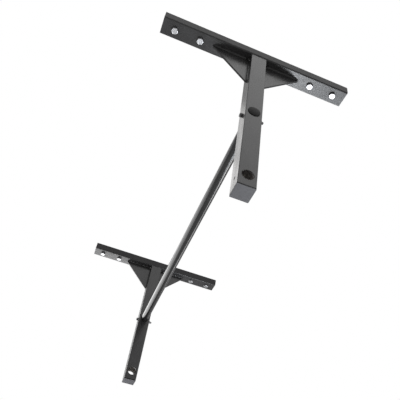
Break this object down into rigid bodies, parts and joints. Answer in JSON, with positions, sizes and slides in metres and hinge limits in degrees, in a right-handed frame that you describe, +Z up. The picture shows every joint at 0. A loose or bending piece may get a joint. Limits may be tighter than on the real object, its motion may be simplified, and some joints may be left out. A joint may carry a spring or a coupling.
{
  "type": "kip bar",
  "caption": "Ceiling-mounted kip bar: a round steel bar cross-bolted through gusseted square-tube hanger arms on angle rails, with a second, lower bar position.",
  "frame": {"origin": "centre of the plane on which the two ceiling joists rest, midway between the brackets and on their centre lines", "axes": "+X along the mounting rails, +Y along the bar from the front bracket to the rear bracket, +Z up into the joists"},
  "size_m": [0.63, 1.278, 0.65],
  "materials": {
    "black_powder_coat": "satin black powder coat",
    "coated_weld": "satin black powder coat over rippled weld",
    "bar_gloss_black": "gloss black coat",
    "cap_plastic": "fine moulded texture",
    "plug_plastic": "moulded black",
    "bolt_black_oxide": "black oxide",
    "screw_zinc": "bright zinc plated",
    "nylon": "natural nylon"
  },
  "bodies": {
    "root": {"rail_front": "black_powder_coat", "rail_rear": "black_powder_coat", "arm_front": "black_powder_coat", "arm_rear": "black_powder_coat", "gusset_front_left": "black_powder_coat", "gusset_front_right": "black_powder_coat", "gusset_rear_left": "black_powder_coat", "gusset_rear_right": "black_powder_coat", "arm_weld_front": "coated_weld", "arm_weld_rear": "coated_weld", "gusset_weld_front_left": "coated_weld", "gusset_weld_front_right": "coated_weld", "gusset_weld_rear_left": "coated_weld", "gusset_weld_rear_right": "coated_weld", "end_cap_front": "cap_plastic", "end_cap_rear": "cap_plastic", "grip_bar": "bar_gloss_black", "bar_plug_front": "plug_plastic", "bar_plug_rear": "plug_plastic", "cross_bolt_front": "bolt_black_oxide", "cross_bolt_rear": "bolt_black_oxide", "lock_nut_front": "bolt_black_oxide", "lock_nut_rear": "bolt_black_oxide", "nut_insert_front": "nylon", "nut_insert_rear": "nylon", "lag_screws_front": "screw_zinc", "lag_screws_rear": "screw_zinc"}
  },
  "joints": []
}
